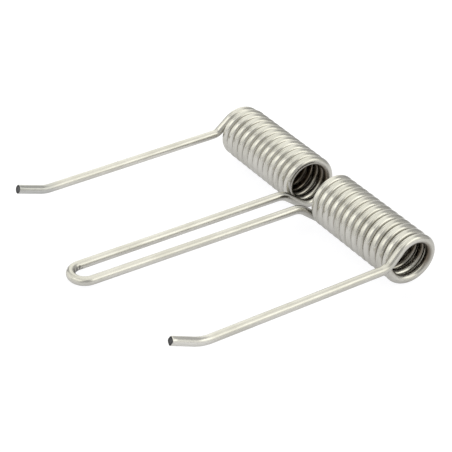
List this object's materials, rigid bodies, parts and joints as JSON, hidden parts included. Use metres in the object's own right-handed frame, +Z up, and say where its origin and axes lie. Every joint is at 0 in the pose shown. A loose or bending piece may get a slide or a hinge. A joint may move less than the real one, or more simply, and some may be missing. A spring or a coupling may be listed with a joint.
{
  "type": "double torsion spring",
  "caption": "Double torsion spring in bright round wire: opposite-hand coils on one axis, a long closed loop between them and an outer leg with a raised tip at each end.",
  "frame": {"origin": "on the coil axis, midway between the two coils", "axes": "+X along the coil axis, the spring is its own mirror image about X = 0; -Y the way the loop and the outer legs point; +Z up, with the spring lying on its coils and the closed end of its loop"},
  "size_m": [0.0686, 0.0694, 0.0123],
  "materials": {
    "spring_wire": "bright drawn stainless spring wire, fine lengthwise draw lines, sheared ends left dark"
  },
  "bodies": {
    "root": {"spring_wire": "spring_wire"}
  },
  "joints": []
}
